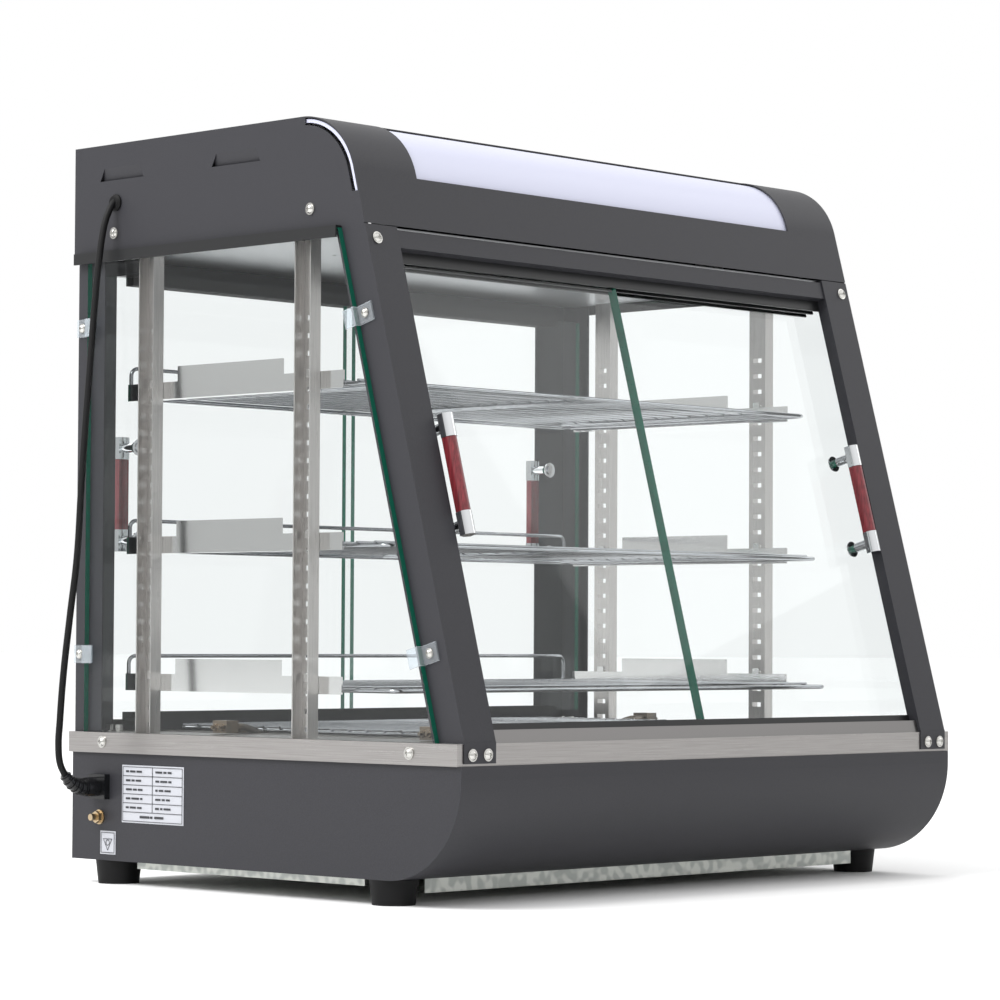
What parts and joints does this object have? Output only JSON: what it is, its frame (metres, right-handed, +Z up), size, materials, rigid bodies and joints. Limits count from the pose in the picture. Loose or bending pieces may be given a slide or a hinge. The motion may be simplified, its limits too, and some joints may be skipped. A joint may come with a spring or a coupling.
{
  "type": "hot food display case",
  "caption": "Countertop heated display case with a slanted glazed front, wire shelves, sliding glass doors front and rear, and a lit curved hood.",
  "frame": {"origin": "on the table, under the middle of the case's width and depth", "axes": "+X to the right as seen from the front, +Y to the rear, +Z up"},
  "size_m": [0.7127, 0.5016, 0.658],
  "materials": {
    "powder_coat": "fine textured charcoal powder coat",
    "stainless": "brushed stainless steel",
    "galvanised": "galvanised sheet",
    "heater_steel": "heat-tinted steel",
    "chromed_wire": "bright chromed wire",
    "glass": "clear float glass with green edges",
    "clear_plastic": "clear moulded plastic",
    "screws": "zinc-plated steel",
    "mahogany": "polished dark red-brown",
    "handle_chrome": "polished chrome",
    "diffuser": "opal acrylic",
    "ceiling_grey": "satin light grey",
    "rubber": "black rubber",
    "track_plastic": "black extruded plastic",
    "black_plastic": "black moulded plastic",
    "red_switch": "red translucent plastic",
    "green_switch": "green translucent plastic",
    "brass": "plain brass",
    "label": "printed white label",
    "phenolic": "phenolic moulding",
    "lamp_white": "white lamp glass"
  },
  "bodies": {
    "cabinet": {"front_apron": "powder_coat", "base_side_left": "powder_coat", "base_side_right": "powder_coat", "base_rear_panel": "powder_coat", "bottom_pan": "galvanised", "feet": "rubber", "deck_frame": "stainless", "heater_tray": "stainless", "heater_tubes": "heater_steel", "heater_terminals": "heater_steel", "floor_rack": "chromed_wire", "cable_gland": "rubber", "earth_terminal": "brass", "rating_plates": "label", "thermostat_body": "phenolic", "switch_housings": "black_plastic", "mains_inlet": "black_plastic", "front_posts": "powder_coat", "rear_posts": "powder_coat", "front_header": "powder_coat", "rear_header": "powder_coat", "front_sill": "stainless", "rear_sill": "powder_coat", "lower_tracks": "track_plastic", "upper_tracks": "track_plastic", "side_glass_left": "glass", "side_glass_right": "glass", "glass_channels": "track_plastic", "glass_clips": "clear_plastic", "frame_screws": "screws", "uprights": "stainless", "shelf_brackets": "stainless", "shelf_bottom": "chromed_wire", "shelf_middle": "chromed_wire", "shelf_top": "chromed_wire", "hood_side_left": "powder_coat", "hood_side_right": "powder_coat", "hood_shell": "powder_coat", "hood_cover": "powder_coat", "light_diffuser": "diffuser", "ceiling_panel": "ceiling_grey", "lamp_tube": "lamp_white", "lamp_fittings": "lamp_white", "hood_grommet": "rubber", "lamp_lead": "rubber"},
    "front_left_door": {"door_front_left": "glass", "grip_front_left": "mahogany", "caps_front_left": "handle_chrome"},
    "front_right_door": {"door_front_right": "glass", "grip_front_right": "mahogany", "caps_front_right": "handle_chrome"},
    "rear_left_door": {"door_rear_left": "glass", "grip_rear_left": "mahogany", "caps_rear_left": "handle_chrome"},
    "rear_right_door": {"door_rear_right": "glass", "grip_rear_right": "mahogany", "caps_rear_right": "handle_chrome"},
    "knob": {"thermostat_knob": "black_plastic"},
    "heater_rocker": {"heater_switch": "red_switch"},
    "lamp_rocker": {"lamp_switch": "green_switch"}
  },
  "joints": [
    {"name": "front_left_slide", "type": "slide", "parent": "cabinet", "child": "front_left_door", "axis": [1, 0, 0], "range_m": [0, 0.26]},
    {"name": "front_right_slide", "type": "slide", "parent": "cabinet", "child": "front_right_door", "axis": [1, 0, 0], "range_m": [-0.26, 0]},
    {"name": "rear_left_slide", "type": "slide", "parent": "cabinet", "child": "rear_left_door", "axis": [1, 0, 0], "range_m": [0, 0.26]},
    {"name": "rear_right_slide", "type": "slide", "parent": "cabinet", "child": "rear_right_door", "axis": [1, 0, 0], "range_m": [-0.26, 0]},
    {"name": "thermostat_turn", "type": "hinge", "parent": "cabinet", "child": "knob", "pos_m": [0.2, 0.2405, 0.068], "axis": [0, 1, 0], "range_deg": [0, 300]},
    {"name": "heater_switch_rock", "type": "hinge", "parent": "cabinet", "child": "heater_rocker", "pos_m": [0.09, 0.236, 0.068], "axis": [1, 0, 0], "range_deg": [0, 16]},
    {"name": "lamp_switch_rock", "type": "hinge", "parent": "cabinet", "child": "lamp_rocker", "pos_m": [0.13, 0.236, 0.068], "axis": [1, 0, 0], "range_deg": [0, 16]}
  ]
}
